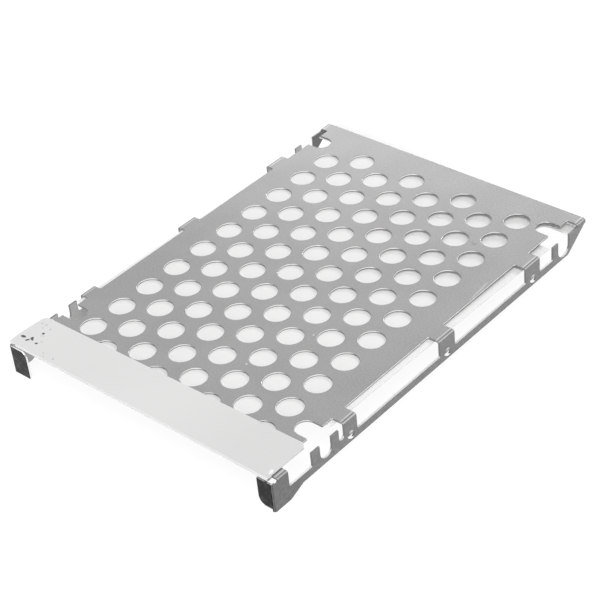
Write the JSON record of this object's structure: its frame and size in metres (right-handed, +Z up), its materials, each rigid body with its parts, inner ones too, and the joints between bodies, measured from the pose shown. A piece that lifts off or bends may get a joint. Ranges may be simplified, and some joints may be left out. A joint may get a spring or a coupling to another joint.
{
  "type": "laptop hard drive caddy",
  "caption": "Thin folded sheet-metal caddy for a small hard drive: perforated top plate, slotted side flanges, end tabs at the front corners, and a white insulating film under the plate.",
  "frame": {"origin": "under the middle of the caddy, level with the feet of the two front corners", "axes": "+X across the drive to the right side, +Y from the end tabs to the open rear edge, +Z up through the plate"},
  "size_m": [0.0716, 0.1018, 0.0071],
  "materials": {
    "bracket": "plain satin sheet, evenly grey",
    "insulating_film": "smooth, slightly satin white film"
  },
  "bodies": {
    "root": {"bracket": "bracket", "insulating_film": "insulating_film"}
  },
  "joints": []
}
